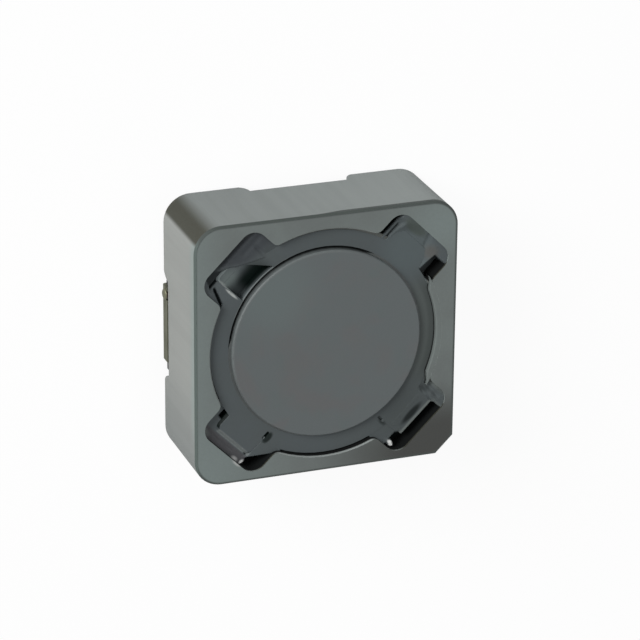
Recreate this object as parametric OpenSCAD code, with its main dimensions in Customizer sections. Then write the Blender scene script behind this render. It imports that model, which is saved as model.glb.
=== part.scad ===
// Shielded surface-mount power inductor: a wound ferrite drum glued into a square ferrite shield.
// Millimetres. The origin is the middle of the footprint, on the board, and +Z points up.

/* [Shield] */
// Side of the square shield
shield_side = 12; // [11:0.1:14.4]
// Height of the shield
shield_h = 4.4; // [4:0.1:6]
// Gap between the shield's lower rim and the board
rim_gap = 0.1; // [0.05:0.01:0.14]
// Rounding of three upright corners
corner_r = 1.2; // [0.6:0.1:2]
// Leg of the 45 degree cut on the fourth upright corner
corner_cut = 0.8; // [0.4:0.1:1.2]
// Break on the outer edges of the upper and lower faces
edge_break = 0.08; // [0.04:0.01:0.14]
// Thinnest wall between the bore and a flat side
side_wall = 0.7; // [0.6:0.05:1]
// Chamfer at the upper mouth of the bore
bore_break = 0.05; // [0.02:0.01:0.1]

/* [Corner pockets] */
// Width of a pocket
pocket_w = 3.5; // [3:0.1:4.2]
// Distance from the square's sharp corner to a pocket's outer wall
pocket_wall = 1.99; // [1.8:0.01:2.4]
// Depth of a pocket below the shield's top
pocket_depth = 1.3; // [1:0.05:1.6]
// Rounding of a pocket's two outer corners
pocket_r = 0.65; // [0.3:0.05:0.8]
// Rounding where a pocket's side runs into the bore
pocket_mouth_r = 0.4; // [0.2:0.05:0.5]

/* [Rim notches] */
// Width of a notch at its ceiling
notch_w = 4.5; // [4:0.1:5.4]
// Height of a notch above the lower rim
notch_h = 0.65; // [0.6:0.01:0.8]

/* [Drum] */
// Gap between the upper flange and the bore
drum_gap = 0.975; // [0.8:0.005:1.2]
// How far the drum's top lies below the shield's top
drum_drop = 0; // [0:0.01:0.2]
// Thickness of the upper flange
upper_flange_t = 0.67; // [0.5:0.01:0.9]
// Thickness of the lower flange
lower_flange_t = 0.55; // [0.4:0.01:0.7]
// Diameter of the post between the flanges
post_d = 4.2; // [3.4:0.1:5]
// Break on the flange edges
flange_break = 0.05; // [0.04:0.01:0.12]

/* [Winding] */
// Diameter of the enamelled wire
wire_d = 0.36; // [0.3:0.01:0.4]
// Room left between the wire and the drum
winding_clear = 0.05; // [0.03:0.01:0.1]
// Room left between the outermost turn and the flange's edge
winding_inset = 0.2; // [0.1:0.05:0.5]
// Radius of a bend in a lead, at the wire's middle
lead_bend = 0.35; // [0.25:0.01:0.4]
// Distance of a lead from the middle of its terminal's side
lead_offset = 1.55; // [1.3:0.05:1.6]

/* [Spacer ring] */
// How far the ring's top lies below the shield's top
ring_recess = 0.25; // [0.1:0.01:0.4]
// Gap between the ring and the flange
flange_clear = 0.07; // [0.07:0.005:0.15]
// Gap between the ring and the bore
ring_clear = 0.1; // [0.07:0.01:0.15]
// Gap between a lug and each side of its pocket
lug_side_gap = 0.625; // [0.3:0.005:0.8]
// Gap between a lug's end and the pocket's outer wall
lug_end_gap = 0.5; // [0.2:0.01:0.7]
// Rounding of a lug's two outer corners
lug_r = 0.35; // [0.2:0.05:0.6]
// Bevel round a lug's upper edge
lug_bevel = 0.12; // [0.05:0.01:0.2]
// How far the ring sits off the middle, towards -X
ring_shift_x = 0.03; // [0:0.01:0.04]
// How far the ring sits off the middle, towards +Y
ring_shift_y = 0.05; // [0:0.01:0.05]
// How far the ring's outer edge sits off its hole, towards -Y
rim_offset = 0.07; // [0:0.01:0.08]
// Depth of the sink in one lug, beside the drum
sink_depth = 0.5; // [0.2:0.05:0.8]
// Length of that sink along the lug
sink_reach = 1.15; // [0.6:0.05:1.4]
// Edge of the lug left standing on each side of the sink
sink_edge = 0.15; // [0.1:0.01:0.3]
// How much narrower the sink is at its shallow end, all on one side
sink_taper = 0.8; // [0:0.05:1]
// Length of the gate mark across one lug's end
gate_length = 1; // [0.6:0.1:1.4]
// Width of the gate mark
gate_width = 0.26; // [0.1:0.02:0.4]
// Depth of the gate mark and of the creases
gate_depth = 0.12; // [0.05:0.01:0.2]
// Length of the crease at the root of two lugs
crease_length = 0.42; // [0.2:0.02:0.6]
// Width of that crease
crease_width = 0.13; // [0.06:0.01:0.2]

/* [Base] */
// Gap between the base and the bore
base_clear = 0.2; // [0.1:0.05:0.3]
// Gap between a base arm and each end of its notch
arm_clear = 0.15; // [0.1:0.01:0.3]
// How far the two plain arms end inside the shield's side
arm_setback = 0.45; // [0.3:0.05:0.8]
// Hole in the middle of the base, under the drum
base_hole_d = 4; // [3:0.5:6]

/* [Terminals] */
// Thickness of the terminal strip
strip_t = 0.15; // [0.1:0.01:0.2]
// Width of the terminal strip
strip_w = 3.5; // [3:0.1:3.8]
// How far the strip sits off the middle of its side
strip_offset = 0.15; // [0:0.05:0.2]
// Length of the solder pad under the base
pad_length = 2.6; // [2:0.1:3]
// Height of the upright leg above the board
leg_h = 0.7; // [0.6:0.01:0.8]
// How far the leg stands proud of the shield's side
leg_proud = 0.03; // [0.01:0.01:0.1]
// Height of the tab at the strip's inner end
tab_h = 0.45; // [0.3:0.05:0.5]
// Width of that tab
tab_w = 1.4; // [1:0.1:2]
// Room round the wire in its groove and slot
wire_clear = 0.04; // [0.02:0.01:0.08]
// Radius of a solder joint on the leg
solder_r = 0.3; // [0.25:0.01:0.35]
// How far a solder joint stands off the leg
solder_h = 0.12; // [0.08:0.01:0.15]

/* [Adhesive] */
// How far the adhesive stands above the ring
glue_rise = 0.08; // [0.04:0.01:0.15]
// Gap between the adhesive and what it bonds
glue_clear = 0.01; // [0.01:0.005:0.03]
// Where the adhesive begins, outwards from the bore
glue_start = 0.1; // [0.05:0.01:0.3]
// How far the adhesive runs past a lug's side
glue_side = 0.2; // [0.1:0.01:0.3]
// Thickness of the adhesive left on a pocket's floor
glue_film = 0.15; // [0.1:0.01:0.3]
// How far in over the ring the adhesive spreads at one lug
glue_spread = 0.5; // [0.2:0.05:0.8]

/* [Hidden] */
$fn = 96;
over = 1;                                   // how far a cutter runs past the face that it cuts
lap = 0.01;                                 // how far two joined shapes run into each other
half_side = shield_side / 2;
top_z = rim_gap + shield_h;
bore_r = half_side - side_wall;
pocket_reach = half_side * sqrt(2) - pocket_wall;
pocket_z = top_z - pocket_depth;
corners = [45, 135, 225, 315];
round_corners = [45, 135, 225];
cut_corner = 315;

notch_z = rim_gap + notch_h;                // ceiling of the notches, and top of the base
base_r = bore_r - base_clear;
arm_w = notch_w - 2 * arm_clear;
leg_x = half_side + leg_proud;              // outer face of a terminal's leg

drum_r = bore_r - drum_gap;
drum_top = top_z - drum_drop;
window_z = notch_z + lower_flange_t;
window_h = drum_top - upper_flange_t - window_z;

wire_r = wire_d / 2;
layer_step = wire_d * sqrt(3) / 2;
first_turn_r = post_d / 2 + winding_clear + wire_r;
first_turn_z = window_z + winding_clear + wire_r;
turns = floor((window_h - 2 * winding_clear - wire_r) / wire_d);
layers = 1 + floor((drum_r - winding_inset - first_turn_r - wire_r) / layer_step);
last_turn_r = first_turn_r + (layers - 1) * layer_step;

ring_top = top_z - ring_recess;
ring_t = ring_top - pocket_z;
ring_in = drum_r + flange_clear;
ring_out = bore_r - ring_clear;
lug_w = pocket_w - 2 * lug_side_gap;
lug_reach = pocket_reach - lug_end_gap;
crease_x = (ring_in + ring_out) / 2;
crease_y = lug_w / 2 - crease_width;
glue_h = ring_t + glue_rise;                // height of the adhesive above a pocket's floor

wire_z = notch_z - wire_clear - wire_r;     // middle of a lead in its groove
lead_x = drum_r + wire_r;                   // a lead comes down just outside the lower flange

// ---------- helpers ----------

// Cutter for the break along a straight edge at distance d from the axis; up is 1 or -1
module straight_break(d, z, size, up) {
    rotate([90, 0, 0]) linear_extrude(4 * shield_side, center = true)
        polygon([[d - size - over, z + up * over], [d + over, z - up * (size + over)],
                 [d + over, z + up * over]]);
}

// Cutter for the same break round a quarter of an upright corner of radius r
module round_break(r, z, size, up) {
    reach = min(over, r - size - lap);
    rotate_extrude(angle = 90)
        polygon([[r - size - reach, z + up * reach], [r + over, z - up * (size + over)],
                 [r + over, z + up * reach]]);
}

// ---------- shield ----------

module shield_outline() {
    difference() {
        square(shield_side, center = true);
        for (a = round_corners) rotate(a - 45) translate([half_side - corner_r, half_side - corner_r])
            difference() {
                square(corner_r + over);
                circle(corner_r);
            }
        rotate(cut_corner) translate([half_side * sqrt(2) - corner_cut / sqrt(2), -shield_side])
            square(2 * shield_side);
    }
}

// Outline of a pocket that opens along +X
module pocket_outline(inset = 0) {
    w = pocket_w / 2 - inset;
    reach = pocket_reach - inset;
    translate([0, -w]) square([reach - pocket_r, 2 * w]);
    translate([0, -w + pocket_r]) square([reach, 2 * (w - pocket_r)]);
    for (side = [-1, 1]) translate([reach - pocket_r, side * (w - pocket_r)]) circle(pocket_r);
}

// The corner of ferrite that the rounding at a pocket's mouth takes away, on the +Y side
module pocket_mouth() {
    centre_y = pocket_w / 2 + pocket_mouth_r;
    centre_x = sqrt(pow(bore_r + pocket_mouth_r, 2) - pow(centre_y, 2));
    centre = [centre_x, centre_y];
    corner_x = sqrt(pow(bore_r, 2) - pow(pocket_w / 2, 2));
    back = 0.2;
    difference() {
        polygon([centre, [centre_x, pocket_w / 2 - back], [corner_x - back, pocket_w / 2 - back],
                 centre * (bore_r - back) / (bore_r + pocket_mouth_r)]);
        translate(centre) circle(pocket_mouth_r);
    }
}

// Outline of a rim notch: its ends flare out in a quarter round to the rim
module notch_outline() {
    translate([-notch_w / 2, -over]) square([notch_w, notch_h + over]);
    for (side = [0, 1]) mirror([side, 0]) translate([notch_w / 2 - lap, -over])
        difference() {
            square([notch_h, notch_h + over]);
            translate([notch_h + lap, notch_h + over]) circle(notch_h);
        }
}

module shield_core() {
    color([0.42, 0.45, 0.44]) difference() {
        translate([0, 0, rim_gap]) linear_extrude(shield_h) shield_outline();
        for (a = [0:90:270]) rotate(a) {
            straight_break(half_side, top_z, edge_break, 1);
            straight_break(half_side, rim_gap, edge_break, -1);
        }
        for (up = [-1, 1]) {
            z = up > 0 ? top_z : rim_gap;
            rotate(cut_corner) straight_break((shield_side - corner_cut) / sqrt(2), z, edge_break, up);
            for (a = round_corners) rotate(a - 45)
                translate([half_side - corner_r, half_side - corner_r])
                    round_break(corner_r, z, edge_break, up);
        }
        translate([0, 0, rim_gap - over]) cylinder(r = bore_r, h = shield_h + 2 * over);
        translate([0, 0, top_z - bore_break])
            cylinder(r1 = bore_r, r2 = bore_r + bore_break + over, h = bore_break + over);
        for (a = corners) rotate(a) translate([0, 0, pocket_z]) linear_extrude(pocket_depth + over) {
            pocket_outline();
            pocket_mouth();
            mirror([0, 1]) pocket_mouth();
        }
        for (a = [0:90:270]) rotate(a) translate([0, 0, rim_gap]) rotate([90, 0, 0])
            linear_extrude(shield_side) notch_outline();
    }
}

// ---------- drum and winding ----------

module drum_core() {
    post_r = post_d / 2;
    b = flange_break;
    color([0.36, 0.38, 0.4]) rotate_extrude() polygon([
        [0, notch_z], [drum_r - b, notch_z], [drum_r, notch_z + b],
        [drum_r, window_z - b], [drum_r - b, window_z], [post_r, window_z],
        [post_r, window_z + window_h], [drum_r - b, window_z + window_h], [drum_r, window_z + window_h + b],
        [drum_r, drum_top - b], [drum_r - b, drum_top], [0, drum_top]]);
}

// Height of the lowest turn in a layer: every second layer nests half a turn higher
function layer_z(layer) = first_turn_z + (layer % 2) * wire_r;
function layer_r(layer) = first_turn_r + layer * layer_step;

// The wound turns, bonded into one ring by their enamel
module turns_section() {
    bond = 1.03;
    for (layer = [0:layers - 1], turn = [0:turns - 1])
        translate([layer_r(layer), layer_z(layer) + turn * wire_d]) circle(wire_r * bond, $fn = 24);
    polygon(concat(
        [for (layer = [0:layers - 1]) [layer_r(layer), layer_z(layer)]],
        [for (layer = [layers - 1:-1:0]) [layer_r(layer), layer_z(layer) + (turns - 1) * wire_d]]));
}

// A quarter bend of the wire from +X towards +Z, ending lead_bend further along both
module wire_bend() {
    translate([0, 0, lead_bend]) rotate([90, 0, 0]) rotate(-90)
        rotate_extrude(angle = 90) translate([lead_bend, 0]) circle(wire_r, $fn = 32);
}

// A straight stretch of the wire towards -X or +X
module wire_run(length, towards = 1) {
    rotate([0, towards * 90, 0]) cylinder(r = wire_r, h = length, $fn = 32);
}

// The lead on the +X side: out over the lower flange, down beside it, and along the base to the leg
module lead() {
    start_x = sqrt(pow(last_turn_r, 2) - pow(lead_offset, 2));
    start_z = layer_z(layers - 1);
    drop = start_z - wire_z - 2 * lead_bend;
    translate([0, -lead_offset, 0]) {
        translate([lead_x - lead_bend, 0, start_z]) wire_run(lead_x - lead_bend - start_x, -1);
        translate([lead_x - lead_bend, 0, start_z]) rotate([180, 0, 0]) wire_bend();
        translate([lead_x, 0, wire_z + lead_bend]) cylinder(r = wire_r, h = drop, $fn = 32);
        translate([lead_x + lead_bend, 0, wire_z]) rotate(180) wire_bend();
        translate([lead_x + lead_bend, 0, wire_z]) wire_run(leg_x - lead_x - lead_bend);
    }
}

module winding() {
    color([0.72, 0.4, 0.2]) {
        rotate_extrude() turns_section();
        lead();
        rotate(180) lead();
    }
}

// ---------- spacer ring ----------

module lug_outline(grow = 0) {
    w = lug_w / 2 + grow;
    reach = lug_reach + grow;
    r = lug_r + grow;
    start = (ring_in + ring_out) / 2;
    translate([start, -w]) square([reach - r - start, 2 * w]);
    translate([start, -w + r]) square([reach - start, 2 * (w - r)]);
    for (side = [-1, 1]) translate([reach - r, side * (w - r)]) circle(r);
}

module lug() {
    difference() {
        linear_extrude(ring_t) lug_outline();
        straight_break(lug_reach, ring_t, lug_bevel, 1);
        rotate(90) straight_break(lug_w / 2, ring_t, lug_bevel, 1);
        rotate(-90) straight_break(lug_w / 2, ring_t, lug_bevel, 1);
        for (side = [0, 1]) mirror([0, side, 0])
            translate([lug_reach - lug_r, lug_w / 2 - lug_r, 0]) round_break(lug_r, ring_t, lug_bevel, 1);
    }
}

// The sink slopes down towards the drum, stays inside the lug's sides and narrows from one side
module lug_sink() {
    w = lug_w / 2 - sink_edge;
    start = ring_in - over;
    finish = ring_in + sink_reach;
    intersection() {
        rotate([90, 0, 0]) linear_extrude(lug_w, center = true)
            polygon([[start, ring_t + over], [finish, ring_t + over], [finish, ring_t],
                     [ring_in, ring_t - sink_depth], [start, ring_t - sink_depth]]);
        linear_extrude(ring_t + 2 * over)
            polygon([[start, -w], [ring_in, -w], [finish, sink_taper - w], [finish, w], [start, w]]);
    }
}

// Cutter for a shallow slot with round ends in the ring's top, its middle at x, y
module top_slot(x, y, length, width, along_x) {
    run = length - width;
    translate([x, y, ring_t - gate_depth]) rotate(along_x ? 0 : 90) {
        translate([-run / 2, -width / 2, 0]) cube([run, width, gate_depth + over]);
        for (side = [-1, 1]) translate([side * run / 2, 0, 0]) cylinder(d = width, h = gate_depth + over);
    }
}

module spacer_ring() {
    color([0.3, 0.33, 0.35]) translate([-ring_shift_x, ring_shift_y, pocket_z]) difference() {
        union() {
            translate([0, -rim_offset, 0]) cylinder(r = ring_out, h = ring_t);
            for (a = corners) rotate(a) lug();
        }
        translate([0, 0, -over]) cylinder(r = ring_in, h = ring_t + 2 * over);
        rotate(135) lug_sink();
        rotate(cut_corner) top_slot(lug_reach - lug_bevel - gate_width, 0, gate_length, gate_width, false);
        rotate(cut_corner) top_slot(crease_x, -crease_y, crease_length, crease_width, true);
        rotate(225) top_slot(crease_x, crease_y, crease_length, crease_width, true);
    }
}

// ---------- base and terminals ----------

module wire_groove() {
    depth = wire_d + 2 * wire_clear;
    translate([lead_x - wire_r - wire_clear, lead_offset - depth / 2, notch_z - depth])
        cube([shield_side, depth, depth + over]);
}

module base() {
    color([0.12, 0.12, 0.13]) difference() {
        union() {
            translate([0, 0, strip_t]) cylinder(r = base_r, h = notch_z - strip_t);
            translate([-leg_x + strip_t, -arm_w / 2, strip_t])
                cube([2 * (leg_x - strip_t), arm_w, notch_z - strip_t]);
            translate([-arm_w / 2, -half_side + arm_setback, strip_t])
                cube([arm_w, 2 * (half_side - arm_setback), notch_z - strip_t]);
        }
        cylinder(d = base_hole_d, h = notch_z + over);
        for (side = [0, 180]) rotate(side) {
            mirror([1, 0, 0]) wire_groove();
            translate([-leg_x + pad_length - strip_t - wire_clear, -tab_w / 2 + strip_offset - wire_clear, 0])
                cube([strip_t + 2 * wire_clear, tab_w + 2 * wire_clear, tab_h + wire_clear]);
        }
    }
}

// Section of the strip from its leg at x = 0 inwards
module strip_section() {
    translate([strip_t, strip_t]) intersection() {
        circle(strip_t);
        translate([-strip_t, -strip_t]) square(strip_t);
    }
    translate([0, strip_t]) square([strip_t, leg_h - strip_t]);
    translate([strip_t, 0]) square([pad_length - strip_t, strip_t]);
}

// The terminal on the -X side
module terminal() {
    slot = wire_d + 2 * wire_clear;
    color([0.62, 0.6, 0.52]) difference() {
        union() {
            translate([-leg_x, strip_offset + strip_w / 2, 0]) rotate([90, 0, 0])
                linear_extrude(strip_w) strip_section();
            translate([-leg_x + pad_length - strip_t, strip_offset - tab_w / 2, 0])
                cube([strip_t, tab_w, tab_h]);
        }
        translate([-leg_x - over, lead_offset - slot / 2, wire_z - slot / 2]) cube([2 * over, slot, over]);
    }
}

// A low facetted dome of solder over the wire's end, on the outside of the leg
module solder_joint() {
    step_h = solder_h / 2;
    shoulder_r = 0.85 * solder_r;
    crown_r = 0.45 * solder_r;
    color([0.7, 0.69, 0.64]) translate([-leg_x, lead_offset, leg_h - solder_r]) rotate([0, -90, 0]) {
        cylinder(r1 = solder_r, r2 = shoulder_r, h = step_h, $fn = 12);
        translate([0, 0, step_h]) cylinder(r1 = shoulder_r, r2 = crown_r, h = step_h, $fn = 12);
    }
}

module terminal_left() { terminal(); }
module terminal_right() { rotate(180) terminal(); }
module solder_left() { solder_joint(); }
module solder_right() { rotate(180) solder_joint(); }

// ---------- adhesive ----------

// Room in the pocket at angle a that the lug and the ring leave free
module pocket_room(a) {
    difference() {
        rotate(a) pocket_outline(glue_clear);
        translate([-ring_shift_x, ring_shift_y]) {
            rotate(a) lug_outline(glue_clear);
            circle(bore_r);
        }
    }
}

// A dab of adhesive in the pocket at angle a: from_x to to_x along the pocket, from_y to to_y across it
module dab(a, from_x, to_x, from_y, to_y, height = glue_h) {
    color([0.33, 0.36, 0.37]) translate([0, 0, pocket_z]) linear_extrude(height) intersection() {
        pocket_room(a);
        rotate(a) translate([from_x, from_y]) square([to_x - from_x, to_y - from_y]);
    }
}

// Thin sheet of adhesive over one side of a lug, cut off along a slant
module lug_cover(a) {
    side = lug_w / 2 + glue_side;
    color([0.33, 0.36, 0.37]) translate([0, 0, ring_top + glue_clear])
        linear_extrude(glue_rise - glue_clear) rotate(a)
            polygon([[bore_r + glue_start + lap, -side], [ring_in + glue_spread, -lug_w / 2 + sink_edge],
                     [lug_reach, 0], [lug_reach + glue_side, 0], [lug_reach + glue_side, -lug_w / 2]]);
}

module adhesive_tl() {
    dab(135, bore_r + glue_start, pocket_reach, -pocket_w / 2, lug_w / 2 + glue_side);
    lug_cover(135);
}
module adhesive_tr() { dab(45, lug_reach - lug_r, pocket_reach, -lug_w / 2, lug_w / 2 + glue_side); }
module adhesive_bl() { dab(225, bore_r + glue_start, pocket_reach, -pocket_w / 2, lug_w / 2 - glue_side); }

// The dab fills both sides of the pocket and leaves a thin film behind the lug's end
module adhesive_br() {
    dab(315, bore_r + glue_start, pocket_reach, lug_w / 2 - glue_clear, pocket_w / 2);
    dab(315, bore_r + glue_start, lug_reach - lug_r, -pocket_w / 2, glue_clear - lug_w / 2);
    dab(315, lug_reach - lug_r - lap, pocket_reach, -pocket_w / 2, pocket_w / 2, glue_film);
}

shield_core();
drum_core();
winding();
spacer_ring();
base();
terminal_left();
terminal_right();
solder_left();
solder_right();
adhesive_tl();
adhesive_tr();
adhesive_bl();
adhesive_br();
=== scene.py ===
import math
import bmesh
import bpy
from mathutils import Matrix, Quaternion, Vector


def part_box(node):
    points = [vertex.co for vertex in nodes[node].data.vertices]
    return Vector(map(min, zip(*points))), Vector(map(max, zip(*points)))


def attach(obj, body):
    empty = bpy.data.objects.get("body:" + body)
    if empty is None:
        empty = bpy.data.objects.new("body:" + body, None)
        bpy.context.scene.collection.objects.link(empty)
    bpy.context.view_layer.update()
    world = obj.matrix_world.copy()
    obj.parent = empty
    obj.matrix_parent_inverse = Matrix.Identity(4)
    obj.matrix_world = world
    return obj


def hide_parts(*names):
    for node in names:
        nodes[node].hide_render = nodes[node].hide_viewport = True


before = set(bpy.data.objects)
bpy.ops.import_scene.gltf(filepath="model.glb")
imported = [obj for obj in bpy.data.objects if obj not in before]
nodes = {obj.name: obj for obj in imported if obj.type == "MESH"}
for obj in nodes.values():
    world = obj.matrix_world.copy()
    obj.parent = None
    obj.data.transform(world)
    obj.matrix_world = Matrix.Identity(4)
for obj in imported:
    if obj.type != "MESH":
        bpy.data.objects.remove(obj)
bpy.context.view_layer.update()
print("frame loaded:", len(nodes), "nodes")

# sizes in millimetres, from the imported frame
mm = 0.001
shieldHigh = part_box("shield_core")[1] / mm
halfSide = shieldHigh.x
topZ = shieldHigh.z
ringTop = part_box("spacer_ring")[1].z / mm
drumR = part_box("drum_core")[1].x / mm
boreR = halfSide - 0.7  # wall at its thinnest
cornerR = 1.2  # upright corners of the shield
# which way each corner pocket runs out: t and b are top and bottom seen from above, l and r left and right
pockets = {"tl": math.radians(135), "tr": math.radians(45), "bl": math.radians(225), "br": math.radians(315)}


def addNode(tree, kind, inputs=None, **settings):
    made = tree.nodes.new(kind)
    for name, value in settings.items():
        setattr(made, name, value)
    for name, value in (inputs or {}).items():
        feed(tree, made.inputs[name], value)
    return made


def feed(tree, socket, value):
    if isinstance(value, bpy.types.NodeSocket):
        tree.links.new(value, socket)
    else:
        socket.default_value = value


def calc(tree, operation, *values):
    return addNode(tree, "ShaderNodeMath", dict(enumerate(values)), operation=operation).outputs[0]


def vectorCalc(tree, operation, *values):
    return addNode(tree, "ShaderNodeVectorMath", dict(enumerate(values)), operation=operation).outputs


def chain(tree, operation, values):
    total = values[0]
    for value in values[1:]:
        total = calc(tree, operation, total, value)
    return total


def plus(tree, *values):
    return chain(tree, "ADD", values)


def minus(tree, first, second):
    return calc(tree, "SUBTRACT", first, second)


def times(tree, *values):
    return chain(tree, "MULTIPLY", values)


def most(tree, *values):
    return chain(tree, "MAXIMUM", values)


def absolute(tree, value):
    return calc(tree, "ABSOLUTE", value)


def ramp(tree, value, low, high, toLow=0.0, toHigh=1.0):
    # smooth change of value between low and high
    inputs = {"Value": value, "From Min": low, "From Max": high, "To Min": toLow, "To Max": toHigh}
    return addNode(tree, "ShaderNodeMapRange", inputs, interpolation_type="SMOOTHSTEP").outputs["Result"]


def fall(tree, value, low, high):
    # 1 up to low, smoothly down to 0 at high
    return ramp(tree, value, low, high, 1.0, 0.0)


def blendColor(tree, factor, first, second):
    made = addNode(tree, "ShaderNodeMix", data_type="RGBA")
    feed(tree, made.inputs["Factor"], factor)
    feed(tree, made.inputs[6], first)
    feed(tree, made.inputs[7], second)
    return made.outputs[2]


def scaleColor(tree, color, factor):
    return addNode(tree, "ShaderNodeVectorMath", {0: color, "Scale": factor}, operation="SCALE").outputs[0]


def objectMm(tree):
    # Object coordinates in millimetres
    coords = addNode(tree, "ShaderNodeTexCoord").outputs["Object"]
    perMm = 1 / mm
    return addNode(tree, "ShaderNodeMapping", {"Vector": coords, "Scale": (perMm, perMm, perMm)}).outputs[0]


def pocketMm(tree, place, corner):
    # the same turned so that x runs out along one corner's pocket and y to its left
    turn = (0, 0, -pockets[corner])
    return addNode(tree, "ShaderNodeMapping", {"Vector": place, "Rotation": turn}).outputs[0]


def allPocketsMm(tree, place):
    return {corner: pocketMm(tree, place, corner) for corner in pockets}


def splitXyz(tree, vector):
    return addNode(tree, "ShaderNodeSeparateXYZ", {0: vector}).outputs


def radius(tree, x, y):
    return calc(tree, "SQRT", plus(tree, times(tree, x, x), times(tree, y, y)))


def faceNormal(tree):
    return splitXyz(tree, addNode(tree, "ShaderNodeNewGeometry").outputs["Normal"])


def startMaterial(name):
    material = bpy.data.materials.new(name)
    material.use_nodes = True
    tree = material.node_tree
    tree.nodes.clear()
    output = tree.nodes.new("ShaderNodeOutputMaterial")
    shader = tree.nodes.new("ShaderNodeBsdfPrincipled")
    tree.links.new(shader.outputs[0], output.inputs[0])
    return material, tree, shader


def startGroup(name, inputs, outputs):
    # inputs are labels with their usual values, outputs are the labels of numbers
    group = bpy.data.node_groups.new(name, "ShaderNodeTree")
    for label, value in inputs.items():
        kind = "NodeSocketVector" if isinstance(value, tuple) else "NodeSocketFloat"
        socket = group.interface.new_socket(name=label, in_out="INPUT", socket_type=kind)
        socket.default_value = value
    for label in outputs:
        group.interface.new_socket(name=label, in_out="OUTPUT", socket_type="NodeSocketFloat")
    return group, group.nodes.new("NodeGroupInput").outputs, group.nodes.new("NodeGroupOutput").inputs


def useGroup(tree, group, inputs):
    made = tree.nodes.new("ShaderNodeGroup")
    made.node_tree = group
    for name, value in inputs.items():
        feed(tree, made.inputs[name], value)
    return made.outputs


def setMaterial(node, material):
    piece = nodes[node]
    piece.data.materials.clear()
    piece.data.materials.append(material)


# fine sintered or moulded grain: a tone around 1 and a height for bump
grainGroup, grainIn, grainOut = startGroup(
    "fineGrain", {"Vector": (0, 0, 0), "Scale": 12.0, "Depth": 0.1}, ("Tone", "Height"))
fine = {"Vector": grainIn["Vector"], "Scale": grainIn["Scale"], "Detail": 4.0, "Roughness": 0.65}
height = addNode(grainGroup, "ShaderNodeTexNoise", fine).outputs[0]
centred = minus(grainGroup, height, 0.5)
swing = times(grainGroup, grainIn["Depth"], 2.0)
feed(grainGroup, grainOut["Tone"], calc(grainGroup, "MULTIPLY_ADD", centred, swing, 1.0))
feed(grainGroup, grainOut["Height"], height)

# broad cloudy mottling: a mask from 0 to 1
mottleGroup, mottleIn, mottleOut = startGroup(
    "mottle", {"Vector": (0, 0, 0), "Scale": 0.4, "Low": 0.4, "High": 0.6}, ("Mask",))
broad = {"Vector": mottleIn["Vector"], "Scale": mottleIn["Scale"], "Detail": 3.0, "Distortion": 0.4}
cloud = addNode(mottleGroup, "ShaderNodeTexNoise", broad).outputs[0]
feed(mottleGroup, mottleOut["Mask"], ramp(mottleGroup, cloud, mottleIn["Low"], mottleIn["High"]))

# a soft spot: its strength as far out as its core, which is a share of its half sizes, and 0 at them
spotGroup, spotIn, spotOut = startGroup(
    "softSpot", {"Vector": (0, 0, 0), "Middle": (0, 0, 0), "Half": (1, 1, 1), "Core": 0.0, "Strength": 1.0},
    ("Mask",))
away = vectorCalc(spotGroup, "SUBTRACT", spotIn["Vector"], spotIn["Middle"])["Vector"]
share = vectorCalc(spotGroup, "DIVIDE", away, spotIn["Half"])["Vector"]
inSpot = fall(spotGroup, vectorCalc(spotGroup, "LENGTH", share)["Value"], spotIn["Core"], 1.0)
feed(spotGroup, spotOut["Mask"], times(spotGroup, inSpot, spotIn["Strength"]))


def ball(middle, half, core=0.0, strength=1.0):
    return {"Middle": middle, "Half": half, "Core": core, "Strength": strength}


def patch(x, y, halfX, halfY, core=0.0, strength=1.0):
    # the same at every height
    everyHeight = 1000.0
    return ball((x, y, topZ), (halfX, halfY, everyHeight), core, strength)


def spot(tree, place, *spots):
    return most(tree, *[useGroup(tree, spotGroup, {"Vector": place, **where})["Mask"] for where in spots])


def mottle(tree, place, scale, low, high):
    return useGroup(tree, mottleGroup, {"Vector": place, "Scale": scale, "Low": low, "High": high})["Mask"]


def grainOf(tree, place, look):
    return useGroup(tree, grainGroup, {"Vector": place, **look["grain"]})


def paintSpots(tree, color, axes, look, marks):
    # one over another, each mark in the axes of its own pocket
    for corner, paint, *spots in marks:
        color = blendColor(tree, spot(tree, axes[corner], *spots), color, look[paint])
    return color


def finishSurface(tree, shader, look, color, grain, matt=0.0):
    # the grain's light places are its rougher ones, and matt places have no sheen
    feed(tree, shader.inputs["Base Color"], color)
    low, high = look["roughness"]
    span = look["toneSpan"]
    roughness = ramp(tree, grain["Tone"], 1 - span, 1 + span, low, high)
    feed(tree, shader.inputs["Roughness"], most(tree, roughness, matt))
    shader.inputs["Specular IOR Level"].default_value = look["specular"]
    bump = {"Height": grain["Height"], "Strength": look["bump"], "Distance": look["bumpDepth"]}
    feed(tree, shader.inputs["Normal"], addNode(tree, "ShaderNodeBump", bump).outputs[0])


print("shared effects ready")


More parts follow.
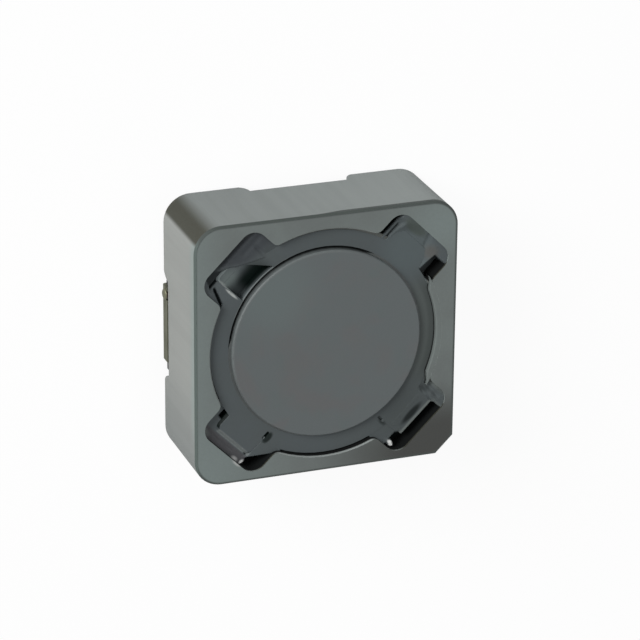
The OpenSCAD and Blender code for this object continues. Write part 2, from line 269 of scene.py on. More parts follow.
shieldLook = {
    "top": (0.145, 0.166, 0.160, 1), "topDark": (0.128, 0.143, 0.139, 1),
    "topLight": (0.166, 0.198, 0.192, 1),
    "lightSpots": (patch(-6.0, -5.5, 5.0, 6.0), patch(5.4, 4.9, 2.6, 2.2)),
    "nearRightDark": (0.055, 0.057, 0.054, 1), "nearRightDarkSpot": patch(5.4, -5.5, 6.4, 3.4, core=0.25),
    "litLeftSide": (0.258, 0.268, 0.256, 1), "leftShade": (0.188, 0.201, 0.196, 1),
    "leftTop": (0.226, 0.267, 0.257, 1), "cornerDarkReflection": (0.048, 0.049, 0.038, 1),
    "side": (0.200, 0.219, 0.214),
    "edgeDarkReflection": (0.058, 0.068, 0.064, 1), "leftEdgeDarkReflection": (0.086, 0.108, 0.100, 1),
    "inside": (0.004, 0.005, 0.005, 1), "insideDepth": 1.4,
    "chip": (0.40, 0.41, 0.40, 1),
    "chipSpot": ball((6.50, 0.66, topZ), (0.13, 0.36, 0.25), core=0.2, strength=0.8),
    "grain": {"Scale": 9.0, "Depth": 0.10}, "toneSpan": 0.08, "roughness": (0.52, 0.72), "specular": 0.15,
    "bump": 0.25, "bumpDepth": 0.00002,
}


def shieldTop(tree, place, x):
    # lighter on the left and at one far corner, darker towards the near right corner
    look = shieldLook
    cloud = mottle(tree, place, 0.35, 0.3, 0.7)
    left = times(tree, fall(tree, x, -6.2, -4.2), 0.7)
    light = most(tree, left, spot(tree, place, *look["lightSpots"]))
    top = blendColor(tree, cloud, look["top"], look["topDark"])
    top = blendColor(tree, light, top, look["topLight"])
    return blendColor(tree, spot(tree, place, look["nearRightDarkSpot"]), top, look["nearRightDark"])


def shieldSides(tree, place, facing):
    look = shieldLook
    x, y, z = splitXyz(tree, place)
    leftward = times(tree, facing[0], -1.0)
    # painted light: the face towards the key lamp is lighter than the other sides, with painted shade
    # towards its -y end
    left = blendColor(tree, fall(tree, y, -5.4, -0.5), look["litLeftSide"], look["leftShade"])
    upperLeft = times(tree, ramp(tree, z, 3.6, 4.3), ramp(tree, y, -5.0, -2.0), 0.8)
    left = blendColor(tree, upperLeft, left, look["leftTop"])
    others = scaleColor(tree, look["side"], ramp(tree, x, -5.5, 5.5, 1.04, 1.20))
    side = blendColor(tree, ramp(tree, leftward, 0.75, 0.95), others, left)

    # faint upright streaks
    tall = addNode(tree, "ShaderNodeMapping", {"Vector": place, "Scale": (2.2, 2.2, 0.12)}).outputs[0]
    streak = addNode(tree, "ShaderNodeTexNoise", {"Vector": tall, "Scale": 1.0, "Detail": 3.0}).outputs[0]
    side = scaleColor(tree, side, ramp(tree, streak, 0.3, 0.7, 0.97, 1.03))

    # painted dark reflection down one upright corner: sharp on its left, fading to the right
    turn = calc(tree, "ARCTAN2", facing[1], leftward)
    upright = fall(tree, absolute(tree, facing[2]), 0.3, 0.6)
    cornerReflection = times(tree, ramp(tree, turn, 0.26, 0.47), fall(tree, turn, 0.90, 1.62), upright)
    return blendColor(tree, cornerReflection, side, look["cornerDarkReflection"])


def paintedEdgeReflection(tree, color, x, y, below):
    # painted dark reflection along the broken upper edge, wider along the far side
    look = shieldLook
    beyondX = most(tree, minus(tree, absolute(tree, x), halfSide - cornerR), 0.0)
    beyondY = most(tree, minus(tree, absolute(tree, y), halfSide - cornerR), 0.0)
    fromSide = minus(tree, cornerR, radius(tree, beyondX, beyondY))
    wider = times(tree, ramp(tree, y, 5.5, 5.9), ramp(tree, x, -0.5, 0.8), 0.14)
    line = times(tree, fall(tree, fromSide, 0.07, 0.16), fall(tree, minus(tree, below, wider), 0.08, 0.15))
    paint = blendColor(tree, fall(tree, x, -5.9, -5.7), look["edgeDarkReflection"], look["leftEdgeDarkReflection"])
    return blendColor(tree, line, color, paint)


def shieldInside(tree, facing, x, y, below, upward, wallDepth):
    # mask of the walls and floors of the bore and the pockets
    depth = shieldLook["insideDepth"]
    r = radius(tree, x, y)
    outward = calc(tree, "DIVIDE", plus(tree, times(tree, facing[0], x), times(tree, facing[1], y)), r)
    around = most(tree, fall(tree, r, boreR + 0.08, boreR + 0.14), fall(tree, below, depth, depth + 0.1))
    walls = times(tree, fall(tree, outward, 0.2, 0.45), ramp(tree, below, wallDepth, wallDepth + 0.07),
                  around, ramp(tree, facing[2], -0.9, -0.5))
    floors = times(tree, upward, ramp(tree, below, 0.9, 1.1))
    return most(tree, walls, floors)


def shieldMaterial(name, wallDepth, steepest):
    # walls of the bore and the pockets are dark from wallDepth below the top;
    # faces whose normal rises above steepest look like the top
    look = shieldLook
    material, tree, shader = startMaterial(name)
    place = objectMm(tree)
    x, y, z = splitXyz(tree, place)
    facing = faceNormal(tree)
    below = minus(tree, topZ, z)
    grain = grainOf(tree, place, look)
    upward = ramp(tree, facing[2], steepest, steepest + 0.17)
    color = blendColor(tree, upward, shieldSides(tree, place, facing), shieldTop(tree, place, x))
    color = paintedEdgeReflection(tree, color, x, y, below)
    color = scaleColor(tree, color, grain["Tone"])
    inside = shieldInside(tree, facing, x, y, below, upward, wallDepth)
    color = blendColor(tree, inside, color, look["inside"])
    color = blendColor(tree, spot(tree, pocketMm(tree, place, "bl"), look["chipSpot"]), color, look["chip"])
    finishSurface(tree, shader, look, color, grain, matt=inside)
    return material


setMaterial("shield_core", shieldMaterial("sinteredFerrite", 0.05, 0.80))
print("shield finished")


drumLook = {
    "face": (0.088, 0.101, 0.103, 1), "warm": (0.094, 0.096, 0.097, 1), "cool": (0.082, 0.101, 0.101, 1),
    "litFarLeft": (0.094, 0.114, 0.114, 1), "litFarLeftSpot": patch(-2.4, 2.6, 2.6, 2.6, core=0.2),
    "rim": (0.110, 0.124, 0.124, 1), "side": (0.03, 0.034, 0.034, 1),
    "grain": {"Scale": 11.0, "Depth": 0.06}, "toneSpan": 0.05, "roughness": (0.44, 0.58), "specular": 0.3,
    "bump": 0.2, "bumpDepth": 0.00002,
}


def drumMaterial():
    look = drumLook
    material, tree, shader = startMaterial("groundFerriteDisc")
    place = objectMm(tree)
    x, y, z = splitXyz(tree, place)
    grain = grainOf(tree, place, look)
    warm = times(tree, mottle(tree, place, 0.45, 0.45, 0.65), 0.8)
    cool = times(tree, mottle(tree, place, 0.8, 0.5, 0.75), 0.6)
    color = blendColor(tree, warm, look["face"], look["warm"])
    color = blendColor(tree, cool, color, look["cool"])
    # painted light: lighter on the far left, towards the key lamp
    color = blendColor(tree, spot(tree, place, look["litFarLeftSpot"]), color, look["litFarLeft"])
    # painted highlight on the ground rim, on the far left only
    rim = ramp(tree, radius(tree, x, y), drumR - 0.14, drumR - 0.06)
    rim = times(tree, rim, ramp(tree, minus(tree, y, x), 1.5, 4.5))
    color = blendColor(tree, rim, color, look["rim"])
    color = blendColor(tree, ramp(tree, minus(tree, topZ, z), 0.12, 0.35), color, look["side"])
    finishSurface(tree, shader, look, scaleColor(tree, color, grain["Tone"]), grain)
    return material


setMaterial("drum_core", drumMaterial())
print("drum finished")


ringLook = {
    "main": (0.073, 0.085, 0.089, 1), "olive": (0.069, 0.079, 0.077, 1), "right": (0.078, 0.090, 0.087, 1),
    "pale": (0.082, 0.100, 0.104, 1), "lit": (0.103, 0.123, 0.121, 1), "bevel": (0.150, 0.167, 0.166, 1),
    "fold": (0.030, 0.036, 0.035, 1), "deepShade": (0.004, 0.008, 0.007, 1), "glint": (0.34, 0.36, 0.35, 1),
    # marks that the ring shares with the adhesive, then its own: pocket, colour, spots
    # shared: a painted sheen on the upper right lug, the lower right lug a little darker, and a painted
    # highlight streak along the upper left lug's left edge
    "sharedMarks": (("tr", "pale", patch(5.374, 0.0, 1.9, 1.9, core=0.2)),
                    ("br", "fold", patch(5.515, 0.0, 2.2, 2.2, core=0.2, strength=0.3)),
                    ("tl", "glint", ball((5.52, 0.95, ringTop), (0.42, 0.08, 0.2), core=0.35),
                     ball((4.98, 1.05, ringTop), (0.48, 0.08, 0.2), core=0.35))),
    # own: painted light on the upper left lug's panel, then painted shade in the creases beside the lower
    # lugs and low in the upper left panel near the drum
    "marks": (("tl", "lit", patch(5.50, 0.66, 0.85, 0.72, core=0.15)),
              ("bl", "deepShade", patch(4.81, 1.09, 0.38, 0.21, core=0.5, strength=0.95)),
              ("br", "deepShade", patch(4.88, -1.05, 0.36, 0.16, core=0.2, strength=0.7)),
              ("tl", "deepShade", patch(4.70, -0.25, 1.0, 1.0, core=0.3, strength=0.6))),
    "lugBevel": (5.80, 6.05), "lugHalf": 0.9, "innerEdge": 4.45, "sinkLight": 0.55,
    "grain": {"Scale": 6.0, "Depth": 0.05}, "toneSpan": 0.05, "roughness": (0.41, 0.54), "specular": 0.1,
    "bump": 0.12, "bumpDepth": 0.00002,
}


def onRight(tree, x, y):
    return times(tree, ramp(tree, x, 2.5, 4.8), fall(tree, absolute(tree, y), 1.5, 3.2))


def ringTone(tree, place, axes):
    # the adhesive starts from the same tone, so that the two run into each other
    look = ringLook
    x, y = splitXyz(tree, place)[:2]
    cloud = times(tree, mottle(tree, place, 0.5, 0.35, 0.65), 0.35)
    color = blendColor(tree, cloud, look["main"], look["olive"])
    color = blendColor(tree, onRight(tree, x, y), color, look["right"])
    color = paintSpots(tree, color, axes, look, look["sharedMarks"])
    # painted highlight: a light band along the bevel at the end of the lower left lug
    out, left = splitXyz(tree, axes["bl"])[:2]
    start, stop = look["lugBevel"]
    band = times(tree, ramp(tree, out, start, start + 0.08), fall(tree, out, stop - 0.08, stop),
                 fall(tree, absolute(tree, left), look["lugHalf"], look["lugHalf"] + 0.12))
    return blendColor(tree, band, color, look["bevel"])


def ringMaterial():
    look = ringLook
    material, tree, shader = startMaterial("mouldedRing")
    place = objectMm(tree)
    axes = allPocketsMm(tree, place)
    x, y, z = splitXyz(tree, place)
    r = radius(tree, x, y)
    grain = grainOf(tree, place, look)
    color = ringTone(tree, place, axes)
    outerShade = times(tree, ramp(tree, r, 4.70, 4.90), onRight(tree, x, y), 0.4)
    color = blendColor(tree, outerShade, color, look["fold"])
    color = paintSpots(tree, color, axes, look, look["marks"])

    # painted light: the sunk panel of the upper left lug is brightened where it starts, and its lower end
    # gets less of the painted shade below
    depth = minus(tree, ringTop, z)
    out, left = splitXyz(tree, axes["tl"])[:2]
    onUpperLug = ramp(tree, out, 4.0, 4.3)
    panelStart = times(tree, ramp(tree, depth, 0.002, 0.012), fall(tree, depth, 0.03, 0.22), onUpperLug)
    color = scaleColor(tree, color, plus(tree, times(tree, panelStart, look["sinkLight"]), 1.0))
    panelEnd = times(tree, onUpperLug, ramp(tree, left, 0.2, 0.8), look["sinkLight"])

    # painted shade: recesses go dark quickly, most of all beside the lower left lug
    lowerOut = splitXyz(tree, axes["bl"])[0]
    bevelStart = look["lugBevel"][0]
    besideLug = times(tree, ramp(tree, lowerOut, 4.0, 4.3), ramp(tree, depth, 0.005, 0.025),
                      fall(tree, lowerOut, bevelStart, bevelStart + 0.08))
    sunk = times(tree, ramp(tree, depth, 0.13, 0.33), minus(tree, 1.0, panelEnd))
    color = blendColor(tree, most(tree, sunk, besideLug), color, look["deepShade"])
    # painted highlight along the ring's inner edge beside the upper left lug
    innerEdge = look["innerEdge"]
    lightEdge = times(tree, fall(tree, r, innerEdge, innerEdge + 0.03), ramp(tree, out, 4.0, 4.15), 0.7)
    color = blendColor(tree, lightEdge, color, look["bevel"])
    finishSurface(tree, shader, look, scaleColor(tree, color, grain["Tone"]), grain)
    return material


setMaterial("spacer_ring", ringMaterial())
print("ring finished")


def plainMaterial(name, look):
    material, tree, shader = startMaterial(name)
    place = objectMm(tree)
    grain = useGroup(tree, grainGroup, {"Vector": place, "Scale": look["grainScale"], "Depth": 0.12})
    color = blendColor(tree, mottle(tree, place, 1.1, 0.4, 0.65), look["main"], look["cloud"])
    shader.inputs["Metallic"].default_value = look["metallic"]
    smoothest, span = look["roughness"] - 0.06, 0.16
    surface = {"roughness": (smoothest, smoothest + span), "toneSpan": 0.1, "specular": 0.5,
               "bump": 0.2, "bumpDepth": 0.00001}
    finishSurface(tree, shader, surface, scaleColor(tree, color, grain["Tone"]), grain)
    return material


baseLook = {"main": (0.022, 0.022, 0.024, 1), "cloud": (0.035, 0.035, 0.037, 1),
            "roughness": 0.5, "grainScale": 8.0, "metallic": 0.0}
wireLook = {"main": (0.022, 0.011, 0.007, 1), "cloud": (0.036, 0.017, 0.010, 1),
            "roughness": 0.28, "grainScale": 5.0, "metallic": 0.0}
terminalLook = {"main": (0.135, 0.138, 0.100, 1), "cloud": (0.105, 0.108, 0.074, 1),
                "roughness": 0.6, "grainScale": 5.0, "metallic": 1.0}
solderLook = {"main": (0.17, 0.17, 0.12, 1), "cloud": (0.10, 0.10, 0.065, 1),
              "roughness": 0.5, "grainScale": 7.0, "metallic": 1.0}

solderMetal = plainMaterial("solder", solderLook)
terminalMetal = plainMaterial("dullTin", terminalLook)
setMaterial("base", plainMaterial("mouldedBase", baseLook))
setMaterial("winding", plainMaterial("darkEnamel", wireLook))
for side in ("left", "right"):
    setMaterial("terminal_" + side, terminalMetal)
    setMaterial("solder_" + side, solderMetal)
print("base, wire and terminals finished")


adhesiveLook = {
    "brown": (0.084, 0.081, 0.075, 1), "green": (0.062, 0.075, 0.069, 1), "dark": (0.044, 0.050, 0.055, 1),
    "flush": (0.098, 0.110, 0.102, 1), "outer": (0.064, 0.065, 0.069, 1), "lip": (0.125, 0.140, 0.135, 1),
    "deepShade": (0.003, 0.005, 0.005, 1), "glint": (0.62, 0.63, 0.62, 1), "beigeGlint": (0.32, 0.29, 0.25, 1),
    # pocket, colour, spots: a green patch, a brown fold, painted shade in a dark crescent along the lower
    # right lug's end and in the folds at that pocket's left end, light outer edges
    "marks": (("tr", "green", patch(6.30, 0.55, 0.36, 0.85, core=0.5, strength=0.9)),
              ("tr", "brown", patch(5.95, -0.85, 0.50, 0.50, core=0.2, strength=0.7)),
              ("br", "deepShade", patch(5.69, 0.08, 0.21, 0.84, core=0.4, strength=0.9)),
              ("br", "deepShade", patch(5.25, 1.32, 0.36, 0.34, core=0.2, strength=0.5)),
              ("tl", "lip", patch(6.40, -1.40, 0.24, 0.55, core=0.3, strength=0.8)),
              ("bl", "lip", patch(6.36, -1.45, 0.24, 0.50, core=0.3, strength=0.8))),
    # painted highlights: white glints on the adhesive, and a beige glint in the upper right pocket
    "glints": (
        ("bl", "glint", ball((6.38, 1.02, ringTop - 0.05), (0.20, 0.17, 0.30), core=0.3)),
        ("bl", "glint", ball((6.45, 0.62, ringTop - 0.05), (0.16, 0.26, 0.30), core=0.2, strength=0.6)),
        ("br", "glint", ball((5.86, -1.51, ringTop - 0.05), (0.19, 0.11, 0.35), core=0.4),
         ball((5.99, -1.57, ringTop - 0.05), (0.19, 0.11, 0.35), core=0.4)),
        ("bl", "glint", ball((5.20, -1.32, ringTop - 0.05), (0.09, 0.07, 0.30), core=0.2, strength=0.6)),
        ("tr", "beigeGlint", ball((4.98, -1.84, ringTop + 0.05), (0.13, 0.22, 0.30), core=0.2, strength=0.7))),
    "grain": {"Scale": 6.0, "Depth": 0.08}, "toneSpan": 0.08, "roughness": (0.41, 0.54), "specular": 0.1,
    "bump": 0.2, "bumpDepth": 0.00002,
}
foldLine = 5.53  # the upper left dab swells where side and out together pass this


def adhesiveBands(tree, color, axes, x, y):
    look = adhesiveLook
    # upper left: darker away from the lug
    out, left = splitXyz(tree, axes["tl"])[:2]
    pastFold = ramp(tree, minus(tree, minus(tree, out, left), foldLine), -0.1, 0.5)
    dark = times(tree, ramp(tree, out, 4.2, 4.6), pastFold, fall(tree, left, 0.95, 1.2),
                 ramp(tree, radius(tree, x, y), 5.05, 5.75))
    color = blendColor(tree, dark, color, look["dark"])
    # lower left: an outer band
    out = splitXyz(tree, axes["bl"])[0]
    color = blendColor(tree, ramp(tree, out, 6.00, 6.10), color, look["outer"])
    # lower right: one end flush with the shield, and a painted highlight on the lip along the lug's end
    out, left = splitXyz(tree, axes["br"])[:2]
    flush = times(tree, ramp(tree, out, 4.2, 4.6), ramp(tree, left, 1.50, 1.90))
    color = blendColor(tree, flush, color, look["flush"])
    lip = times(tree, ramp(tree, out, 5.84, 5.94), fall(tree, left, 1.0, 1.3))
    return blendColor(tree, lip, color, look["lip"])


def adhesiveDeep(tree, axes, x, y, z):
    # mask of the painted shade in the holes: darker with depth, sooner on the far side, and weaker in the
    # upper right one
    depth = minus(tree, ringTop, z)
    farSide = ramp(tree, plus(tree, y, times(tree, x, 0.1)), -0.5, 0.5)
    deepShade = most(tree, times(tree, ramp(tree, depth, 0.01, 0.13), farSide), ramp(tree, depth, 0.17, 0.40))
    out, left = splitXyz(tree, axes["tr"])[:2]
    rightHole = times(tree, ramp(tree, out, 4.2, 4.6), fall(tree, left, -1.0, 0.0), 0.7)
    return times(tree, deepShade, minus(tree, 1.0, rightHole))


def adhesiveMaterial():
    look = adhesiveLook
    material, tree, shader = startMaterial("curedAdhesive")
    place = objectMm(tree)
    axes = allPocketsMm(tree, place)
    x, y, z = splitXyz(tree, place)
    grain = grainOf(tree, place, look)
    color = adhesiveBands(tree, ringTone(tree, place, axes), axes, x, y)
    color = paintSpots(tree, color, axes, look, look["marks"])
    deepShade = adhesiveDeep(tree, axes, x, y, z)
    color = blendColor(tree, deepShade, color, look["deepShade"])
    color = paintSpots(tree, color, axes, look, look["glints"])
    finishSurface(tree, shader, look, scaleColor(tree, color, grain["Tone"]), grain, matt=deepShade)
    return material


def smooth(value, low, high):
    share = min(max((value - low) / (high - low), 0), 1)
    return share * share * (3 - 2 * share)


def between(value, low, high, soft):
    # 1 between low and high, smoothly 0 outside
    return smooth(value, low - soft, low + soft) * (1 - smooth(value, high - soft, high + soft))


def near(value, full, none):
    # 1 up to full, smoothly down to 0 at none
    return 1 - smooth(value, full, none)


def toward(height, goal, share):
    return height + (goal - height) * share


# Heights of the four dabs, in millimetres above the ring's top; out runs along the pocket from the
# middle of the part, side to its right. What is lower than a lug or the ring stays hidden in it.

def topLeftHeight(side, out):
    empty = -0.65
    cover = smooth(min(side + out - foldLine, 0.54 * side + 0.842 * out - 4.64), -0.16, 0.16)
    height = toward(empty, -0.09, smooth(out, 5.90, 6.00))
    height = toward(height, 0.04, cover)
    height -= 0.12 * cover * smooth(out, 6.10, 6.32)
    # two shallow creases across the swelling
    height -= 0.05 * between(side, 1.08, 1.22, 0.06) * between(out, 5.0, 5.7, 0.2)
    height -= 0.03 * between(side, 0.5, 1.7, 0.2) * between(out, 5.75, 5.95, 0.1)
    # web on the left of the lug, with a slanting slit in it
    slant = 0.42 * (6.1 - out)
    web = smooth(-side, 0.92, 0.98)
    height = toward(height, -0.005 - 0.03 * smooth(out, 5.6, 5.9), web * near(out, 5.85, 6.05))
    height = toward(height, -0.20, web * near(abs(side + 1.22 + slant), 0.02, 0.09) * near(out, 5.62, 5.85))
    height = toward(height, 0.05, smooth(-side, 1.36 + slant, 1.46 + slant))
    # level with the ring on the right, and nothing over the drum
    height = toward(height, -0.015, smooth(side, 0.9, 1.3) * near(math.hypot(side, out), 5.10, 5.45))
    return toward(height, empty, near(out, 4.45, 4.75))


def topRightHeight(side, out):
    # a bowl round the lug that climbs to the shield's top
    reach = math.hypot((side + 0.1) / 1.1, (out - 5.0) / 1.15)
    height = -0.01 + 0.20 * smooth(reach, 0.90, 1.40)
    height = toward(height, 0.03, near(side, -1.2, -1.0) * near(out, 6.0, 6.3))
    # a groove along its left and a fold over its right corner
    height -= 0.13 * between(side, -1.29, -1.18, 0.05) * between(out, 5.05, 5.95, 0.10)
    fold = 0.55 * (6.5 - out) + 0.10
    height -= 0.06 * between(side, fold, fold + 0.20, 0.10) * smooth(out, 5.8, 6.1)
    height = toward(height, -0.02, near(math.hypot(side, out), 5.10, 5.35))
    # empty slit on the left, empty hole on the right
    height = toward(height, -0.95, near(side, -1.53, -1.42))
    return toward(height, -0.80, smooth(side, 1.04, 1.14) * near(out, 5.86, 6.00) * smooth(out, 4.92, 5.02))


def bottomLeftHeight(side, out):
    height = -0.12 - 0.04 * between(side, -0.2, 0.9, 0.3) * between(out, 6.2, 6.3, 0.06)
    height = toward(height, -0.01, smooth(side, 0.85, 0.95) * near(out, 5.00, 5.08))
    # a small hole beside the lug, and an empty end
    height = toward(height, -0.85, between(side, 0.90, 1.36, 0.04) * between(out, 5.03, 5.42, 0.05))
    end = math.hypot(max(-0.80 - side, 0) / 0.30, (out - 6.30) / 0.34)
    height = toward(height, -0.95, smooth(end, 0.85, 1.05) * near(side, -0.85, -0.75))
    # web between the lug's side and the ring
    web = smooth(-side, 0.88, 0.94) * near(out - 0.99 * (side + 1.04), 5.98, 6.08)
    return toward(height, -0.008, web)


def bottomRightHeight(side, out):
    # a thin film over the lug's end, then the empty slot, which ends in a bead
    empty = -0.93
    height = -0.015 + 0.021 * smooth(out, 5.08, 5.36) * near(side, 0.75, 0.95)
    height = toward(height, empty, smooth(out, 6.03, 6.09))
    height = toward(height, empty, smooth(side, 0.92, 0.98) * smooth(out, 5.72, 5.84))
    bead = math.hypot((side - 1.54) / 0.20, (out - 5.90) / 0.30)
    height = toward(height, 0.01, near(bead, 0.6, 1.05))
    # the left end is filled up to the shield's top, with two creases
    fill = -0.02 + 0.21 * smooth(out, 5.05, 5.7)
    fill -= 0.07 * near(abs(side + 1.52 - 0.10 * (out - 5.1)), 0.02, 0.14) * between(out, 5.3, 6.0, 0.15)
    fill -= 0.10 * near(abs(side + 1.26 - 0.30 * (out - 5.05)), 0.02, 0.14) * between(out, 5.2, 5.8, 0.15)
    return toward(height, fill, near(side, -1.14, -1.02))


dabLook = {
    "tl": {"side": (-1.95, 2.10), "out": (4.40, 6.54), "height": topLeftHeight},
    "tr": {"side": (-1.85, 2.00), "out": (4.80, 6.54), "height": topRightHeight},
    "bl": {"side": (-2.00, 1.90), "out": (4.85, 6.54), "height": bottomLeftHeight},
    "br": {"side": (-1.90, 1.90), "out": (4.85, 6.54), "height": bottomRightHeight},
}
dabCell = 0.04
dabDepth = 1.0
dabCorner = 8.40  # side and out together stay under this, as the pocket's ends are round


def turnMesh(shape, angle):
    bmesh.ops.rotate(shape, cent=(0, 0, 0), matrix=Matrix.Rotation(angle, 3, "Z"), verts=shape.verts[:])


def finishMesh(shape, name, material):
    bmesh.ops.recalc_face_normals(shape, faces=shape.faces[:])
    bmesh.ops.scale(shape, vec=(mm, mm, mm), verts=shape.verts[:])
    data = bpy.data.meshes.new(name)
    shape.to_mesh(data)
    shape.free()
    data.materials.append(material)
    piece = bpy.data.objects.new(name, data)
    bpy.context.scene.collection.objects.link(piece)
    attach(piece, "root")
    return piece


def makeDab(corner, material):
    # a fine grid lifted to the dab's height, then extruded down into the pocket
    look = dabLook[corner]
    (right0, right1), (out0, out1) = look["side"], look["out"]
    shape = bmesh.new()
    bmesh.ops.create_grid(shape, x_segments=round((out1 - out0) / dabCell),
                          y_segments=round((right1 - right0) / dabCell), size=0.5)
    for vert in shape.verts:
        out = out0 + (vert.co.x + 0.5) * (out1 - out0)
        limit = dabCorner - out
        low, high = max(right0, -limit), min(right1, limit)
        side = low + (0.5 - vert.co.y) * (high - low)
        vert.co = (out, -side, ringTop + look["height"](side, out))
    for face in shape.faces:
        face.smooth = True
    solid = bmesh.ops.extrude_face_region(shape, geom=shape.faces[:])
    for vert in (item for item in solid["geom"] if isinstance(item, bmesh.types.BMVert)):
        vert.co.z = ringTop - dabDepth
    turnMesh(shape, pockets[corner])
    piece = finishMesh(shape, "dab_" + corner, material)
    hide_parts("adhesive_" + corner)


curedAdhesive = adhesiveMaterial()
for corner in dabLook:
    makeDab(corner, curedAdhesive)
print("adhesive finished")


# Fillets round the bore and the drum: turn is in degrees, profile points are across and up, and over
# the last runOut degrees each end closes in on the radius closeTo.
seamLook = {
    "flush": {"turn": (-29, 28), "runOut": 7, "closeTo": boreR + 0.05,
              "profile": [(boreR - 0.25, ringTop - 0.15), (boreR - 0.25, ringTop + 0.03),
                          (boreR - 0.22, topZ - 0.03), (boreR - 0.17, topZ - 0.003),
                          (boreR + 0.06, topZ - 0.002), (boreR + 0.06, ringTop - 0.15)]},
    "far": {"turn": (57, 121), "runOut": 3, "closeTo": boreR + 0.03,
            "profile": [(boreR - 0.18, ringTop - 0.30), (boreR - 0.18, ringTop - 0.02),
                        (boreR + 0.04, ringTop + 0.02), (boreR + 0.04, ringTop - 0.30)]},
    "rim": {"turn": (120, 150), "runOut": 2, "closeTo": drumR + 0.135,
            "profile": [(drumR + 0.085, ringTop - 0.6), (drumR + 0.085, ringTop - 0.05),
                        (drumR + 0.115, ringTop - 0.04), (drumR + 0.145, ringTop - 0.07),
                        (drumR + 0.165, ringTop - 0.6)]},
    "drum": {"turn": (168, 428), "runOut": 14, "closeTo": drumR - 0.03,
             "profile": [(drumR - 0.03, ringTop - 0.30), (drumR + 0.16, ringTop - 0.30),
                         (drumR + 0.16, ringTop - 0.015), (drumR - 0.03, ringTop + 0.03)]},
}
degreesPerStep = 2
closing = 0.97  # share of the way to closeTo at each end


def makeSeam(name, material):
    look = seamLook[name]
    start, stop = look["turn"]
    middle, half = (start + stop) / 2, (stop - start) / 2
    shape = bmesh.new()
    face = shape.faces.new([shape.verts.new((across, 0, up)) for across, up in look["profile"]])
    steps = round((stop - start) / degreesPerStep)
    bmesh.ops.spin(shape, geom=[face], cent=(0, 0, 0), axis=(0, 0, 1), dvec=(0, 0, 0),
                   angle=math.radians(stop - start), steps=steps, use_merge=False)
    bmesh.ops.remove_doubles(shape, verts=shape.verts[:], dist=0.0001)
    turnMesh(shape, math.radians(start - middle))
    for vert in shape.verts:
        turn = abs(math.degrees(math.atan2(vert.co.y, vert.co.x)))
        away = math.hypot(vert.co.x, vert.co.y)
        wanted = toward(away, look["closeTo"], closing * smooth(turn, half - look["runOut"], half))
        vert.co.x, vert.co.y = vert.co.x * wanted / away, vert.co.y * wanted / away
    turnMesh(shape, math.radians(middle))
    piece = finishMesh(shape, "seam_" + name, material)


oliveLook = {"main": (0.040, 0.046, 0.042, 1), "cloud": (0.048, 0.053, 0.048, 1),
             "roughness": 0.55, "grainScale": 6.0, "metallic": 0.0}
darkLook = {"main": (0.030, 0.036, 0.036, 1), "cloud": (0.040, 0.047, 0.046, 1),
            "roughness": 0.55, "grainScale": 6.0, "metallic": 0.0}
makeSeam("flush", shieldMaterial("flushFillet", 0.12, -0.60))
makeSeam("far", plainMaterial("oliveFillet", oliveLook))
makeSeam("drum", plainMaterial("darkFillet", darkLook))
makeSeam("rim", nodes["spacer_ring"].data.materials[0])
print("seams finished")


beadLook = {"radius": 0.27, "height": 0.11, "back": 0.35, "tail": 0.25}


def makeBead(side):
    # smooth drop of solder over the wire's end on the leg, narrower below
    look = beadLook
    low, high = [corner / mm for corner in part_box("solder_" + side)]
    leg, outward = (high.x, -1) if side == "left" else (low.x, 1)
    shape = bmesh.new()
    bmesh.ops.create_uvsphere(shape, u_segments=32, v_segments=20, radius=1.0)
    for vert in shape.verts:
        x, y, z = vert.co
        width = look["radius"] / (1 + look["tail"] * max(-z, 0))
        vert.co = (leg + outward * max(x, -look["back"]) * look["height"],
                   (low.y + high.y) / 2 + y * width, (low.z + high.z) / 2 + z * look["radius"])
    for face in shape.faces:
        face.smooth = True
    piece = finishMesh(shape, "bead_" + side, solderMetal)
    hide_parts("solder_" + side)


for side in ("left", "right"):
    makeBead(side)
print("solder finished")


stageLook = {
    "floorSize": 3.0, "floorColor": (0.9, 0.9, 0.9, 1), "shadowShare": 0.08, "ambient": 0.24,
    "lamps": {"key": {"place": (-0.26, 0.17, 0.17), "size": 0.20, "energy": 1.12},
              "over": {"place": (0.05, 0.02, 0.40), "size": 0.30, "energy": 0.5}},
}
white = (1, 1, 1, 1)


def seenDirectly(tree):
    path = addNode(tree, "ShaderNodeLightPath").outputs
    return most(tree, path["Is Camera Ray"], path["Is Glossy Ray"], path["Is Transmission Ray"])


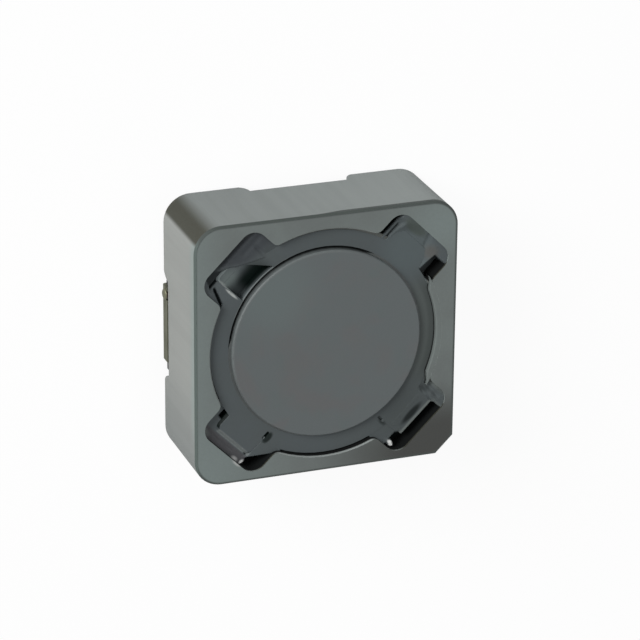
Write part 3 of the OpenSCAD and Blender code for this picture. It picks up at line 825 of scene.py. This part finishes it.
def makeFloor():
    shape = bmesh.new()
    bmesh.ops.create_grid(shape, x_segments=1, y_segments=1, size=stageLook["floorSize"])
    data = bpy.data.meshes.new("floor")
    shape.to_mesh(data)
    shape.free()
    floor = bpy.data.objects.new("floor", data)
    bpy.context.scene.collection.objects.link(floor)
    material = bpy.data.materials.new("paleFloor")
    material.use_nodes = True
    tree = material.node_tree
    tree.nodes.clear()
    output = tree.nodes.new("ShaderNodeOutputMaterial")
    # seen directly it is white but for a share of its shading, which keeps the shadow
    share = times(tree, seenDirectly(tree), 1 - stageLook["shadowShare"])
    diffuse = addNode(tree, "ShaderNodeBsdfDiffuse", {"Color": stageLook["floorColor"]})
    glow = addNode(tree, "ShaderNodeEmission", {"Color": white, "Strength": 1.0})
    mixed = addNode(tree, "ShaderNodeMixShader", {0: share, 1: diffuse.outputs[0], 2: glow.outputs[0]})
    tree.links.new(mixed.outputs[0], output.inputs[0])
    data.materials.append(material)


def makeLamp(name, look):
    light = bpy.data.lights.new(name, "AREA")
    light.shape = "DISK"
    light.size = look["size"]
    light.energy = look["energy"]
    lamp = bpy.data.objects.new(name, light)
    lamp.location = look["place"]
    aim = Vector((0, 0, topZ / 2 * mm))
    lamp.rotation_euler = (aim - Vector(look["place"])).to_track_quat("-Z", "Y").to_euler()
    bpy.context.scene.collection.objects.link(lamp)


def makeWorld():
    world = bpy.data.worlds.new("studio")
    bpy.context.scene.world = world
    world.use_nodes = True
    tree = world.node_tree
    tree.nodes.clear()
    output = tree.nodes.new("ShaderNodeOutputWorld")
    ambient = stageLook["ambient"]
    strength = calc(tree, "MULTIPLY_ADD", seenDirectly(tree), 1 - ambient, ambient)
    sky = addNode(tree, "ShaderNodeBackground", {"Color": white, "Strength": strength})
    tree.links.new(sky.outputs[0], output.inputs[0])


# aim and distance in metres, angles in degrees
cameraLook = {"aim": (0.00049053, 0.00017329, 0.00225), "distance": 0.1482744, "azimuth": 129.76188,
              "elevation": 60.17171, "roll": 136.73203, "lens": 190.3185}


def makeCamera():
    look = cameraLook
    azimuth, elevation, roll = [math.radians(look[angle]) for angle in ("azimuth", "elevation", "roll")]
    level = math.cos(elevation)
    back = Vector((level * math.cos(azimuth), level * math.sin(azimuth), math.sin(elevation)))
    data = bpy.data.cameras.new("camera")
    data.lens = look["lens"]
    data.sensor_width = 36
    data.clip_start = 0.01
    camera = bpy.data.objects.new("camera", data)
    camera.rotation_mode = "QUATERNION"
    camera.rotation_quaternion = back.to_track_quat("Z", "Y") @ Quaternion((0, 0, 1), roll)
    camera.location = Vector(look["aim"]) + back * look["distance"]
    bpy.context.scene.collection.objects.link(camera)
    bpy.context.scene.camera = camera


makeFloor()
for name, look in stageLook["lamps"].items():
    makeLamp(name, look)
makeWorld()
makeCamera()
bpy.context.scene.view_settings.view_transform = "Standard"
print("stage finished")
